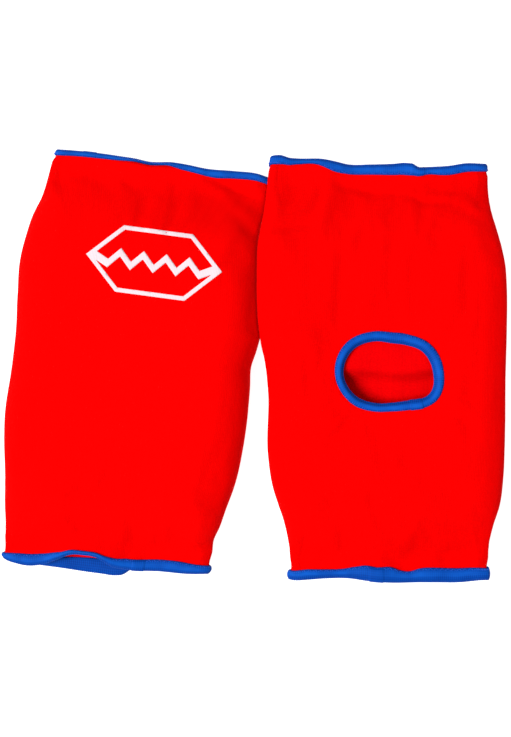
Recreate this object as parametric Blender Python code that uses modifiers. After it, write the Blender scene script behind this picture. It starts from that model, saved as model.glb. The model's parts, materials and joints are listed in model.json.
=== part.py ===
"""A pair of sleeve elbow pads, laid flat side by side, as solids.

Each pad is a knitted tube with elastic tape bound round both cuffs and round an oval opening
in the crook of the elbow. A foam slab sits between the front panel and a lining. The left pad
lies with its foam upwards, and the right pad with its opening upwards.

A pad's own frame has x across the sleeve, y from the forearm towards the upper arm, z up from
the table, and y = 0 at the elbow crease. Every layer is divided at the crease, where it bends.
"""

import math

import bmesh
import bpy
from mathutils import Vector

MM = 0.001

# Driving dimensions.
HALF_LENGTH = 129 * MM  # from the elbow crease to the outside of either cuff
KNIT = 1.0 * MM  # thickness of the sleeve's knit
TAPE = 0.8 * MM  # thickness of the elastic binding tape
LINING = 0.8 * MM  # thickness of the lining under the foam
FOAM = 10.0 * MM  # thickness of the foam slab
GAP = 0.3 * MM  # clearance between pieces that touch
ARM_GAP = 9.0 * MM  # height of the arm passage when the sleeve lies flat
TAPE_LEAF = 6.5 * MM  # how far the tape reaches over each face of a cuff
OPENING_LEAF = 5.8 * MM  # and over each face of the panel round the elbow opening
PAD_GAP = 1.0 * MM  # left between the two pads, as built into their outlines

# Heights of the layers' middles above the table.
TAPE_RADIUS = KNIT / 2 + GAP + TAPE / 2  # the tape's middle as it turns round an edge
FLOOR_LAYER = TAPE_RADIUS + TAPE / 2
LAYERS_BETWEEN = ARM_GAP + LINING + GAP + FOAM + 2 * GAP
ROOF_LAYER = FLOOR_LAYER + KNIT + LAYERS_BETWEEN
CUFF_ROOF_LAYER = FLOOR_LAYER + ARM_GAP

# The roof comes down from the foam to the cuffs between these distances from the crease.
ROOF_ENDS = 86 * MM
CUFF_STARTS = 118 * MM

# The rounded sides of the sleeve, over the foam and at the cuffs.
ROOF_SIDE = 22 * MM
FLOOR_SIDE = 8 * MM
CUFF_SIDE = 7 * MM

# Foam slab and lining.
FOAM_HALF_LENGTH = 100 * MM
FOAM_CORNER = 30 * MM
FOAM_INSET = 12 * MM  # from the sleeve's side to the foam's
FOAM_EDGE = 3 * MM  # thickness left at the foam's rim
FOAM_TAPER = 14 * MM
LINING_MARGIN = 5 * MM

# Elbow opening, measured at the inside of its tape.
OPENING_HALF_WIDTH = 28 * MM
OPENING_HALF_HEIGHT = 18.5 * MM
OPENING_ROUNDNESS = 2.3  # exponent of the superellipse
OPENING_LEAN = 0.12  # sideways lean of its upper half
OPENING_OFFSET = 4 * MM  # towards the outside of the sleeve

# Seam allowances inside the sleeve.
SEAM_WIDTH = 5 * MM
SEAM_THICKNESS = 1.6 * MM

# Printed emblem: a long hexagon ring with a zigzag band across it.
EMBLEM_HALF_WIDTH = 42 * MM
EMBLEM_HALF_HEIGHT = 20 * MM
EMBLEM_LINE = 3 * MM
EMBLEM_THICKNESS = 0.4 * MM
EMBLEM_PLACE = (4 * MM, 65.4 * MM)
ZIGZAG_TEETH = 5
ZIGZAG_HEIGHT = 7 * MM

# Half widths of the sleeve, as (distance from the crease, half width) in millimetres.
FREE_SIDE = [
    (-129, 64.5), (-118, 64.5), (-100, 66.5), (-82, 69.5), (-62, 73.5), (-40, 76.0), (-10, 75.5),
    (15, 76.0), (45, 78.5), (62, 79.0), (80, 76.0), (95, 72.0), (110, 68.5), (129, 66.5),
]  # fmt: skip
PRESSED_SIDE = [
    (-129, 63.0), (-110, 61.5), (-98, 63.0), (-88, 66.0), (-62, 71.0), (-40, 72.5), (-10, 72.0),
    (10, 71.0), (24, 72.0), (44, 69.5), (66, 66.0), (86, 63.5), (105, 65.0), (129, 65.5),
]  # fmt: skip
INNER_SIDE = [
    (-129, 62.0), (-113, 60.5), (-100, 62.0), (-88, 65.0), (-75, 69.0), (-62, 71.5), (-45, 73.0),
    (-4, 72.5), (20, 76.0), (38, 77.0), (61, 77.0), (80, 76.5), (100, 72.0), (118, 68.5),
    (129, 67.5),
]  # fmt: skip
OUTER_SIDE = [
    (-129, 63.0), (-118, 61.5), (-102, 64.0), (-91, 68.0), (-78, 70.5), (-66, 73.0), (-45, 74.0),
    (2, 75.5), (20, 77.0), (42, 77.5), (62, 77.0), (76, 75.0), (89, 71.5), (101, 69.0),
    (117, 67.5), (129, 68.5),
]  # fmt: skip

# The slant of each cuff, as how far its edge reaches beyond the half length, in millimetres,
# at the left, middle and right of the cuff.
SLANT_REACH = 62 * MM  # from the middle to the left or right
SLANT_STARTS = 92 * MM  # distance from the crease where the slant begins

PADS = {
    "left": {
        "place": (-74.75 * MM, -1.1 * MM),
        "turn": math.radians(-7.6),
        "foam_up": True,
        "sides": (FREE_SIDE, PRESSED_SIDE),
        "opening_x": -OPENING_OFFSET,
        "cuff_slants": {"upper": (-1.0, -1.5, -1.5), "lower": (1.0, 0.0, -8.0)},
    },
    "right": {
        "place": (79.35 * MM, -3.9 * MM),
        "turn": math.radians(1.4),
        "foam_up": False,
        "sides": (INNER_SIDE, OUTER_SIDE),
        "opening_x": OPENING_OFFSET,
        "cuff_slants": {"upper": (5.0, 0.0, -2.0), "lower": (-1.5, 1.5, 2.5)},
    },
}
HALVES = {"upper": 1, "lower": -1}

# Columns across a layer: up to 1 is the flat middle, and from 1 to 2 is the rounded side.
COLUMNS = [-2, -1.84, -1.64, -1.44, -1.24, -1.1, -1, -0.4, 0.4, 1, 1.1, 1.24, 1.44, 1.64, 1.84, 2]
PANEL_ROWS = [0, 20, 40, 60, 75, 86, 94, 102, 110, 118, 122, 128]
FOAM_ROWS = [0, 20, 40, 60, 75, 86, 94, 98, 100]
SEAM_ROWS = [0, 20, 45, 65, 86, 97, 107, 115, 121.4]

MATERIALS = {
    "sleeve_knit": ((0.85, 0.0, 0.0), 0.85),
    "binding_tape": ((0.005, 0.09, 0.66), 0.7),
    "lining": ((0.62, 0.0, 0.0), 0.9),
    "foam": ((0.75, 0.74, 0.70), 0.95),
    "seam_thread": ((0.7, 0.01, 0.01), 0.8),
    "emblem_ink": ((0.93, 0.88, 0.89), 0.5),
}


# Shape of the sleeve


def through(points, at):
    """The value at a place on the smooth curve through (place, value) points, level past its ends."""
    if at <= points[0][0]:
        return points[0][1]
    if at >= points[-1][0]:
        return points[-1][1]
    i = max(k for k, point in enumerate(points) if point[0] <= at)
    (x0, y0), (x1, y1) = points[i], points[i + 1]

    def slope(k):
        (xa, ya), (xb, yb) = points[max(k - 1, 0)], points[min(k + 1, len(points) - 1)]
        return (yb - ya) / (xb - xa)

    t = (at - x0) / (x1 - x0)
    start, end = slope(i) * (x1 - x0), slope(i + 1) * (x1 - x0)
    return (
        (2 * t**3 - 3 * t**2 + 1) * y0
        + (t**3 - 2 * t**2 + t) * start
        + (3 * t**2 - 2 * t**3) * y1
        + (t**3 - t**2) * end
    )


def blend(a, b, share):
    return a + (b - a) * share


def smooth(share):
    share = min(max(share, 0.0), 1.0)
    return share * share * (3 - 2 * share)


def half_width(pad, side, y):
    """Half width of the knit's middle surface at y, on the side that is -1 or 1."""
    points = pad["sides"][0 if side < 0 else 1]
    under_tape = smooth((abs(y) - ROOF_ENDS) / (CUFF_STARTS - ROOF_ENDS))
    return through(points, y / MM) * MM - KNIT / 2 - under_tape * (GAP + TAPE)


def cuffness(y):
    """0 over the foam, 1 at a cuff."""
    return smooth((abs(y) - ROOF_ENDS) / (CUFF_STARTS - ROOF_ENDS))


def roof_height(y):
    return blend(ROOF_LAYER, CUFF_ROOF_LAYER, cuffness(y))


def fold_height(pad, y):
    """Height of the side fold, where the two panels meet."""
    over_foam = 8 * MM if pad["foam_up"] else 10 * MM
    return blend(over_foam, (FLOOR_LAYER + CUFF_ROOF_LAYER) / 2, cuffness(y))


def side_radius(is_roof, y):
    return blend(ROOF_SIDE if is_roof else FLOOR_SIDE, CUFF_SIDE, cuffness(y))


def layer_point(pad, is_roof, column, y):
    """A point on the middle surface of the roof or floor layer."""
    side = -1 if column < 0 else 1
    radius = side_radius(is_roof, y)
    flat = half_width(pad, side, y) - radius
    level = roof_height(y) if is_roof else FLOOR_LAYER
    fold = fold_height(pad, y)
    angle = max(abs(column) - 1, 0) * math.pi / 2
    x = flat * min(abs(column), 1) + radius * math.sin(angle)
    return Vector((side * x, y, fold + (level - fold) * math.cos(angle)))


def room_height(pad, is_roof, x, y, clear):
    """Height of a surface inside the sleeve that keeps clear of a layer's middle surface."""
    radius = side_radius(is_roof, y)
    past = abs(x) - (half_width(pad, x, y) - radius)
    level = roof_height(y) - clear if is_roof else FLOOR_LAYER + clear
    fold = fold_height(pad, y)
    share = min(max(past / (radius - clear), 0.0), 1.0)
    return fold + (level - fold) * math.sqrt(1 - share * share)


def foam_half_width(pad, side, y):
    reach = half_width(pad, side, y) - FOAM_INSET
    past = max(abs(y) - (FOAM_HALF_LENGTH - FOAM_CORNER), 0)
    past = min(past, FOAM_CORNER)
    return reach - FOAM_CORNER + math.sqrt(FOAM_CORNER**2 - past**2)


def foam_faces(pad, x, y):
    """(underside, top) of the foam at a place."""
    if pad["foam_up"]:
        low = FLOOR_LAYER + KNIT / 2 + ARM_GAP + LINING + GAP
        return low, room_height(pad, True, x, y, KNIT / 2 + 2 * GAP)
    low = FLOOR_LAYER + KNIT / 2 + GAP
    inside = min(foam_half_width(pad, x, y) - abs(x), FOAM_HALF_LENGTH - abs(y))
    share = min(max(inside / FOAM_TAPER, 0.0), 1.0)
    return low, low + blend(FOAM_EDGE, FOAM, math.sin(share * math.pi / 2))


def lining_height(pad, x, y, past):
    """Middle of the lining. Past the foam's rim, from 0 to 1, it comes to the front panel."""
    low, top = foam_faces(pad, x, y)
    front = room_height(pad, pad["foam_up"], x, y, KNIT / 2 + 2 * GAP + LINING / 2)
    if pad["foam_up"]:
        return blend(low - GAP - LINING / 2, front, past)
    return blend(top + 3 * GAP + LINING / 2, front, past)


def slanted(pad, point):
    """The point moved along the sleeve with its cuff's slant."""
    left, middle, right = pad["cuff_slants"]["upper" if point.y > 0 else "lower"]
    across = point.x / SLANT_REACH
    reach = middle + across * (right - left) / 2 + across**2 * ((left + right) / 2 - middle)
    share = smooth((abs(point.y) - SLANT_STARTS) / (CUFF_STARTS - SLANT_STARTS))
    outward = math.copysign(1, point.y)
    return Vector((point.x, point.y + outward * reach * MM * share, point.z))


def opening_point(pad, angle, grow):
    """A point round the elbow opening, grown outwards from its inner edge."""
    power = 2 / OPENING_ROUNDNESS
    c, s = math.cos(angle), math.sin(angle)
    y = (OPENING_HALF_HEIGHT + grow) * math.copysign(abs(s) ** power, s)
    x = (OPENING_HALF_WIDTH + grow) * math.copysign(abs(c) ** power, c)
    lean = -OPENING_LEAN if pad["opening_x"] > 0 else OPENING_LEAN
    return pad["opening_x"] + x + lean * y, y


# Blender objects


def material(slot):
    found = bpy.data.materials.get(slot)
    if found:
        return found
    colour, roughness = MATERIALS[slot]
    made = bpy.data.materials.new(slot)
    made.use_nodes = True
    shader = made.node_tree.nodes["Principled BSDF"]
    shader.inputs["Base Color"].default_value = (*colour, 1)
    shader.inputs["Roughness"].default_value = roughness
    shader.inputs["Metallic"].default_value = 0
    return made


def grid(rows, columns):
    """A bmesh grid, with each vertex's row and column kept in its integer layers."""
    bm = bmesh.new()
    across, along = len(columns) - 1, len(rows) - 1
    bmesh.ops.create_grid(bm, x_segments=across, y_segments=along, size=1)
    column, row = bm.verts.layers.int.new("column"), bm.verts.layers.int.new("row")
    for vertex in bm.verts:
        vertex[column] = round((vertex.co.x + 1) / 2 * across)
        vertex[row] = round((vertex.co.y + 1) / 2 * along)
    return bm, column, row


def finished(bm, pad, name, slot, body, collection):
    """The object made from a bmesh in the pad's frame, hung on its body's empty."""
    for vertex in bm.verts:
        vertex.co = slanted(pad, vertex.co)
    mesh = bpy.data.meshes.new(name)
    bm.to_mesh(mesh)
    bm.free()
    mesh.shade_smooth()
    made = bpy.data.objects.new(name, mesh)
    made.data.materials.append(material(slot))
    hang(made, body)
    collection.objects.link(made)
    return made


def hang(made, body):
    made.parent = body
    made.location = -Vector(body["pad_place"])


def sheet(pad, name, slot, body, collection, rows, columns, point, thickness, closed=False):
    """A layer of even thickness, from its middle surface."""
    bm, column, row = grid(rows, columns)
    for vertex in bm.verts:
        vertex.co = point(columns[vertex[column]], rows[vertex[row]])
    if closed:
        bmesh.ops.remove_doubles(bm, verts=bm.verts, dist=1e-6)
    made = finished(bm, pad, name, slot, body, collection)
    solidify = made.modifiers.new("thickness", "SOLIDIFY")
    solidify.thickness = thickness
    solidify.offset = 0
    return made


def slab(pad, name, slot, body, collection, rows, columns, place, faces):
    """A block between a lower and an upper face, over a grid of places."""
    bm, column, row = grid(rows, columns)
    made = bmesh.ops.extrude_face_region(bm, geom=bm.faces[:], use_keep_orig=True)
    raised = {item for item in made["geom"] if isinstance(item, bmesh.types.BMVert)}
    for vertex in bm.verts:
        x, y = place(columns[vertex[column]], rows[vertex[row]])
        vertex.co = (x, y, faces(x, y)[1 if vertex in raised else 0])
    bmesh.ops.recalc_face_normals(bm, faces=bm.faces[:])
    return finished(bm, pad, name, slot, body, collection)


def along(half, distance):
    """y at a distance in millimetres from the crease, in the upper or lower half."""
    return HALVES[half] * max(distance * MM, GAP / 2)


def knit_edge():
    """Where the knit ends inside the tape of a cuff."""
    return HALF_LENGTH - TAPE / 2 - TAPE_RADIUS


def panel(side_name, pad, half, which, body, collection):
    is_roof = (which == "front") == pad["foam_up"]
    rows = [min(along(half, d), knit_edge(), key=abs) for d in PANEL_ROWS]
    rows[-1] = HALVES[half] * knit_edge()
    seam_gap = GAP / 2 * (1 if is_roof else -1)

    def point(column, y):
        place = layer_point(pad, is_roof, column, y)
        if abs(column) == 2:
            place.z += seam_gap
        return place

    name = f"{side_name}_{which}_panel_{half}"
    return sheet(pad, name, "sleeve_knit", body, collection, rows, COLUMNS, point, KNIT)


def opening_cutter(side_name, pad, body, cutters):
    """An upright prism that cuts the elbow opening in both halves of the back panel."""
    bm = bmesh.new()
    sides = 36
    bmesh.ops.create_cone(
        bm, cap_ends=True, segments=sides, radius1=1, radius2=1, depth=60 * MM
    )
    for vertex in bm.verts:
        angle = math.atan2(vertex.co.y, vertex.co.x)
        vertex.co.x, vertex.co.y = opening_point(pad, angle, TAPE / 2 + TAPE_RADIUS)
    made = finished(bm, pad, f"{side_name}_opening_cutter", "sleeve_knit", body, cutters)
    made.hide_render = True
    made.display_type = "WIRE"
    return made


def cut(made, cutter):
    boolean = made.modifiers.new("opening", "BOOLEAN")
    boolean.operation = "DIFFERENCE"
    boolean.object = cutter


def tape_profile(leaf):
    """(offset from the layer, distance back from the tape's outer edge) round the folded tape."""
    turn = [math.radians(a) for a in (90, 45, 0, -45, -90)]
    bend = [
        (TAPE_RADIUS * math.sin(a), TAPE_RADIUS * (1 - math.cos(a))) for a in turn
    ]
    reach = leaf - TAPE / 2
    return [(TAPE_RADIUS, reach), *bend, (-TAPE_RADIUS, reach)]


def cuff_loop(pad, y):
    """Points round a cuff's closed edge, each with its outward normal."""
    roof = [layer_point(pad, True, c, y) for c in COLUMNS]
    floor = [layer_point(pad, False, c, y) for c in COLUMNS[-2:0:-1]]
    loop = roof + floor
    made = []
    for i, point in enumerate(loop):
        before, after = loop[i - 1], loop[(i + 1) % len(loop)]
        ahead, behind = (after - point).normalized(), (point - before).normalized()
        tangent = ahead + behind
        made.append((point, Vector((-tangent.z, 0, tangent.x)).normalized()))
    return made + made[:1]


def cuff_binding(side_name, pad, half, body, collection):
    edge = HALF_LENGTH - TAPE / 2
    rows = tape_profile(TAPE_LEAF)
    loops = {back: cuff_loop(pad, HALVES[half] * (edge - back)) for _, back in rows}

    def point(index, profile_point):
        offset, back = profile_point
        place, normal = loops[back][index]
        return place + normal * offset

    name = f"{side_name}_{half}_cuff_binding"
    columns = range(len(loops[0.0]))
    return sheet(
        pad, name, "binding_tape", body, collection, rows, columns, point, TAPE, closed=True
    )


def opening_binding(side_name, pad, half, body, collection):
    """Half of the tape round the elbow opening, ending at the crease."""
    sign = HALVES[half]
    is_roof = not pad["foam_up"]
    level = ROOF_LAYER if is_roof else FLOOR_LAYER
    steps = 14
    angles = [sign * math.pi * i / steps for i in range(steps + 1)]

    def point(angle, profile_point):
        offset, back = profile_point
        x, y = opening_point(pad, angle, back + TAPE / 2)
        y = sign * max(abs(y), GAP / 2)
        return Vector((x, y, level + offset))

    rows = tape_profile(OPENING_LEAF)
    name = f"{side_name}_opening_binding_{half}"
    return sheet(pad, name, "binding_tape", body, collection, rows, angles, point, TAPE)


def foam(side_name, pad, half, body, collection):
    rows = [along(half, d) for d in FOAM_ROWS]
    columns = [-1, -0.93, -0.82, -0.6, -0.2, 0.2, 0.6, 0.82, 0.93, 1]

    def place(column, y):
        return column * foam_half_width(pad, column, y), y

    return slab(
        pad,
        f"{side_name}_foam_{half}",
        "foam",
        body,
        collection,
        rows,
        columns,
        place,
        lambda x, y: foam_faces(pad, x, y),
    )


def lining(side_name, pad, half, body, collection):
    """The lining over the foam, with a margin that is sewn to the front panel."""
    margin_rows = [101.5, 105]
    rows = [along(half, d) for d in FOAM_ROWS + margin_rows]
    foam_end = HALVES[half] * FOAM_HALF_LENGTH
    columns = [-3, -2, -1, -0.93, -0.82, -0.6, -0.2, 0.2, 0.6, 0.82, 0.93, 1, 2, 3]
    first_step = 1.5 * MM

    def point(column, y):
        at_foam = min(y, foam_end, key=abs)
        side = -1 if column < 0 else 1
        rim = foam_half_width(pad, side, at_foam)
        step = {0: 0, 1: first_step, 2: LINING_MARGIN}[max(round(abs(column)) - 1, 0)]
        x = side * (rim * min(abs(column), 1) + step)
        past = max(step, abs(y) - FOAM_HALF_LENGTH) - first_step
        share = smooth(past / (LINING_MARGIN - first_step))
        return Vector((x, y, lining_height(pad, x, y, share)))

    name = f"{side_name}_lining_{half}"
    return sheet(pad, name, "lining", body, collection, rows, columns, point, LINING)


def side_seam(side_name, pad, half, side, body, collection):
    """The overlocked seam allowance inside one side fold."""
    rows = [along(half, d) for d in SEAM_ROWS]
    outside = KNIT / 2 + 3 * GAP

    def place(column, y):
        reach = half_width(pad, side, y) - outside
        return side * (reach - SEAM_WIDTH * column), y

    def faces(x, y):
        fold = fold_height(pad, y)
        return fold - SEAM_THICKNESS / 2, fold + SEAM_THICKNESS / 2

    which = "left" if side < 0 else "right"
    name = f"{side_name}_{which}_seam_{half}"
    return slab(pad, name, "seam_thread", body, collection, rows, [0, 1], place, faces)


def emblem_outlines():
    """The hexagon's outline, and the two holes above and below the zigzag band."""
    w, h, line = EMBLEM_HALF_WIDTH, EMBLEM_HALF_HEIGHT, EMBLEM_LINE
    shoulder = w - h

    def hexagon(width, height, flat):
        return [(width, 0), (flat, height), (-flat, height), (-width, 0), (-flat, -height), (flat, -height)]

    inside_w, inside_h, inside_flat = w - 1.4 * line, h - line, shoulder - 0.4 * line
    reach = inside_w - 1.2 * line
    zigzag = [
        (blend(reach, -reach, i / (2 * ZIGZAG_TEETH)), ZIGZAG_HEIGHT / 2 * (-1) ** i)
        for i in range(1, 2 * ZIGZAG_TEETH)
    ]
    above = [(inside_w - line, line)]
    above += [(inside_flat, inside_h), (-inside_flat, inside_h), (-inside_w + line, line)]
    above += [(x, y + line) for x, y in reversed(zigzag)]
    below = [(x, -y) for x, y in above[:4]]
    below += [(x, y - line) for x, y in reversed(zigzag)]
    return [hexagon(w, h, shoulder), above, below]


def emblem(side_name, pad, body, collection):
    curve = bpy.data.curves.new(f"{side_name}_emblem", "CURVE")
    curve.dimensions = "2D"
    curve.fill_mode = "BOTH"
    curve.extrude = EMBLEM_THICKNESS / 2
    for outline in emblem_outlines():
        spline = curve.splines.new("POLY")
        spline.points.add(len(outline) - 1)
        spline.use_cyclic_u = True
        for point, (x, y) in zip(spline.points, outline, strict=True):
            point.co = (x, y, 0, 1)
    made = bpy.data.objects.new(f"{side_name}_emblem", curve)
    made.data.materials.append(material("emblem_ink"))
    hang(made, body)
    clear = KNIT / 2 + GAP + EMBLEM_THICKNESS / 2
    x, y = EMBLEM_PLACE
    if pad["foam_up"]:
        made.location += Vector((x, y, ROOF_LAYER + clear))
    else:
        made.location += Vector((-x, y, FLOOR_LAYER - clear))
        made.rotation_euler = (0, math.pi, 0)
    collection.objects.link(made)
    return made


# Assembly


def empty(name, collection, place, parent=None, turn=0.0):
    """An empty on a body's joint axis. It remembers its place in the pad's frame."""
    made = bpy.data.objects.new(name, None)
    made.empty_display_size = 20 * MM
    made["pad_place"] = list(place)
    if parent:
        made.parent = parent
        made.location = Vector(place) - Vector(parent["pad_place"])
    else:
        made.rotation_euler.z = turn
    collection.objects.link(made)
    return made


def pad_bodies(side_name, pad, collection):
    """The empties of a pad's upper arm half and forearm half, on their joint axes."""
    frame = empty(f"{side_name}_pad", collection, (0, 0, 0), turn=pad["turn"])
    frame.location = (*pad["place"], 0)
    if pad["foam_up"]:
        upper_place, elbow_place = (0, HALF_LENGTH, 0), (0, 0, 0)
    else:
        upper_place, elbow_place = (0, 0, 0), (0, 0, ROOF_LAYER + TAPE_RADIUS + TAPE / 2)
    upper = empty(f"{side_name}_upper_arm_axis", collection, upper_place, frame)
    lower = empty(f"{side_name}_elbow_axis", collection, elbow_place, upper)
    return {"upper": upper, "lower": lower}


def build_pad(side_name, pad, collection, cutters):
    bodies = pad_bodies(side_name, pad, collection)
    cutter = opening_cutter(side_name, pad, bodies["upper"], cutters)
    for half, body in bodies.items():
        panel(side_name, pad, half, "front", body, collection)
        back = panel(side_name, pad, half, "back", body, collection)
        cut(back, cutter)
        foam(side_name, pad, half, body, collection)
        lining(side_name, pad, half, body, collection)
        cuff_binding(side_name, pad, half, body, collection)
        opening_binding(side_name, pad, half, body, collection)
        for side in (-1, 1):
            side_seam(side_name, pad, half, side, body, collection)
    emblem(side_name, pad, bodies["upper"], collection)


def new_collection(name):
    made = bpy.data.collections.new(name)
    bpy.context.scene.collection.children.link(made)
    return made


def main():
    for old in list(bpy.data.objects):
        bpy.data.objects.remove(old, do_unlink=True)
    collection, cutters = new_collection("elbow_pads"), new_collection("cutters")
    for side_name, pad in PADS.items():
        build_pad(side_name, pad, collection, cutters)


main()
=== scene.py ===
"""The looks of a pair of padded elbow sleeves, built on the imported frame.

A pad's own frame has x across the sleeve, y towards the upper arm, z up from the table, and
y = 0 at the elbow crease. Lengths in this script are millimetres until a mesh is made.
"""

import json
import math

import bmesh
import bpy
import numpy as np
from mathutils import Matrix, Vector
from mathutils.bvhtree import BVHTree


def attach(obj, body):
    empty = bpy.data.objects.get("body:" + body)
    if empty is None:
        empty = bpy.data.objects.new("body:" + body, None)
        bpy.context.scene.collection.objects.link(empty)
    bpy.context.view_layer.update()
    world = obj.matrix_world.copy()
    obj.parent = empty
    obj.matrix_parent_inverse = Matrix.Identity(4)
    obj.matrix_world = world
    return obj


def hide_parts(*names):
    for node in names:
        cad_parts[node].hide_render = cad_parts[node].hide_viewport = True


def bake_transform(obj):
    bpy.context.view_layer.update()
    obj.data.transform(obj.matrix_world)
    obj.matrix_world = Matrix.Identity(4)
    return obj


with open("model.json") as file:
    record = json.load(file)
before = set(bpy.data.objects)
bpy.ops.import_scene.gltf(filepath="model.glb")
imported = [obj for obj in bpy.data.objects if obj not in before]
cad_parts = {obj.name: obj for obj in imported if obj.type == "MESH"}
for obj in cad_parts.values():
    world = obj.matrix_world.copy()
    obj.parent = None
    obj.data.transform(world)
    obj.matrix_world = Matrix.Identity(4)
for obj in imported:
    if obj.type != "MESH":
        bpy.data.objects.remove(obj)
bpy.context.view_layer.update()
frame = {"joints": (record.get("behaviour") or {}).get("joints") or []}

MM = 0.001
JOINTS = {joint["name"]: joint for joint in frame["joints"]}

# Thicknesses.
KNIT = 1.0
TAPE = 0.8
LINING = 0.7
PRINT = 0.16
PRINT_EDGE = 1.6  # the longest edge of a face of the print

# Sleeve.
HALF_LENGTH = 129.0  # from the elbow crease to a cuff's outer edge
FLAT_ROUND = 302.0  # the sleeve's girth where it is widest, used to lay out the knit
FLOOR = 1.6  # the lower layer's middle
GRIP = 2.2  # how far inside the tape's edge the knit ends
SLANT_STARTS = 88.0  # from here to the cuff the rows take up the cuff's slant
SLANT_SPREAD = 31.0
FOLD_POWER = 0.92  # the side folds are a little fuller than half ellipses
SEAM_GROOVE = 0.35
SEAM_END = 121.0  # from the crease

# Knit, as sizes of one stitch.
WALE = 0.95  # across the sleeve
COURSE = 0.8  # along it

# Tape.
TAPE_CLEAR = 0.55  # from the knit's middle to the inside of the tape
TURN = 1.1  # how far back from the edge the tape's fold starts to turn
TURN_ANGLE = 0.35  # where the turn's half ellipse starts and ends, in radians
TURN_SINE = 0.343  # that angle's sine
TURN_STRETCH = 1.674  # brings the turn out to the edge at its middle
LAP_EDGE = 0.6  # the length over which a lap rises
UNDER_WIDTH = 6.2  # of a cuff's tape outside the lower layer
INNER_WIDTH = {"cuff": 5.8, "opening": 5.4}  # inside the upper layer, and inside the opening
RIB = 1.25  # from one rib across the tape to the next
RIB_HEIGHT = 0.13
CORD = 1.1  # from one cord along the tape to the next
TABLE_GAP = 0.12  # how low a tape may reach
LEVEL_STEP = 0.5  # between the levels from which tapes and stitches are laid out

# Stitches on the tapes.
STITCH = 1.3
THREAD_RADIUS = 0.2
THREAD_LOW = 0.25
NEAR_EDGE, FAR_FROM_EDGE = 0.45, 1.55  # a zigzag's two rows, from the tape's own edge

# Foam and lining.
FOAM_END = 100.0  # from the crease
FOAM_MARGIN = 12.0  # from the side fold
FOAM_CORNER = 30.0
FOAM_RIM, FOAM_RISE, FOAM_SLOPE = 2.5, 6.9, 17.0  # thickness at its rim, rise and width of rise
FOAM_CLEAR = 0.8  # from the knit
LINING_MARGIN = 4.0
LINING_END = 104.0

# Cloth simulation of the sleeves.
SETTLE_STEPS = 20
HELD_SHARES = (1.0, 0.5, 0.2)  # how firmly the knit is held, near and farther from a tape
HELD_WITHIN = (7, 11, 16)

# Heights of the upper layer's middle: over the foam, and at the cuffs.
ROOF = {"left": 22.6, "right": 22.2}
CUFF_ROOF = 8.6
ROOF_ENDS = 78.0  # from the crease
CUFF_STARTS = 119.0
FOLD_HEIGHT = {"left": 7.5, "right": 10.5}

# Width of a side fold's curve, by pad and whether it is the upper layer, and at the cuffs.
FOLD_CURVES = {
    ("left", True): 23.0, ("left", False): 9.0, ("right", True): 19.0, ("right", False): 10.0,
}
CUFF_CURVE = 6.0

# Outlines, as (distance from the crease, half width).
OUTLINES = {
    ("left", -1): [
        (-129, 66.8), (-114, 66.9), (-96, 69.2), (-77, 71.4), (-53, 75.2), (-40, 76.5), (-10, 76.2),
        (15, 76.8), (34, 78.4), (59, 79.8), (72, 78.3), (85, 75.9), (98, 71.9), (111, 69.8),
        (129, 67.6),
    ],
    ("left", 1): [
        (-129, 63.1), (-116, 62.9), (-103, 62.9), (-90, 65.7), (-78, 68.1), (-65, 71.0),
        (-39, 73.2), (-14, 73.2), (-2, 72.6), (10, 71.6), (20, 73.5), (40, 76.0), (129, 76.0),
    ],
    ("right", -1): [
        (-129, 63.0), (-120, 61.1), (-110, 61.1), (-100, 62.4), (-90, 64.5), (-80, 67.5),
        (-70, 70.3), (-50, 72.9), (-10, 72.0), (10, 73.8), (20, 75.8), (30, 76.8), (70, 76.9),
        (80, 76.4), (90, 74.4), (100, 72.0), (110, 70.1), (120, 68.5), (129, 67.6),
    ],
    ("right", 1): [
        (-129, 63.8), (-122, 62.8), (-109, 63.4), (-97, 65.9), (-85, 69.9), (-66, 72.8),
        (-48, 74.0), (-4, 75.5), (20, 76.8), (51, 77.7), (64, 77.2), (76, 75.1), (89, 71.9),
        (101, 69.4), (114, 68.2), (129, 68.8),
    ],
}

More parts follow.
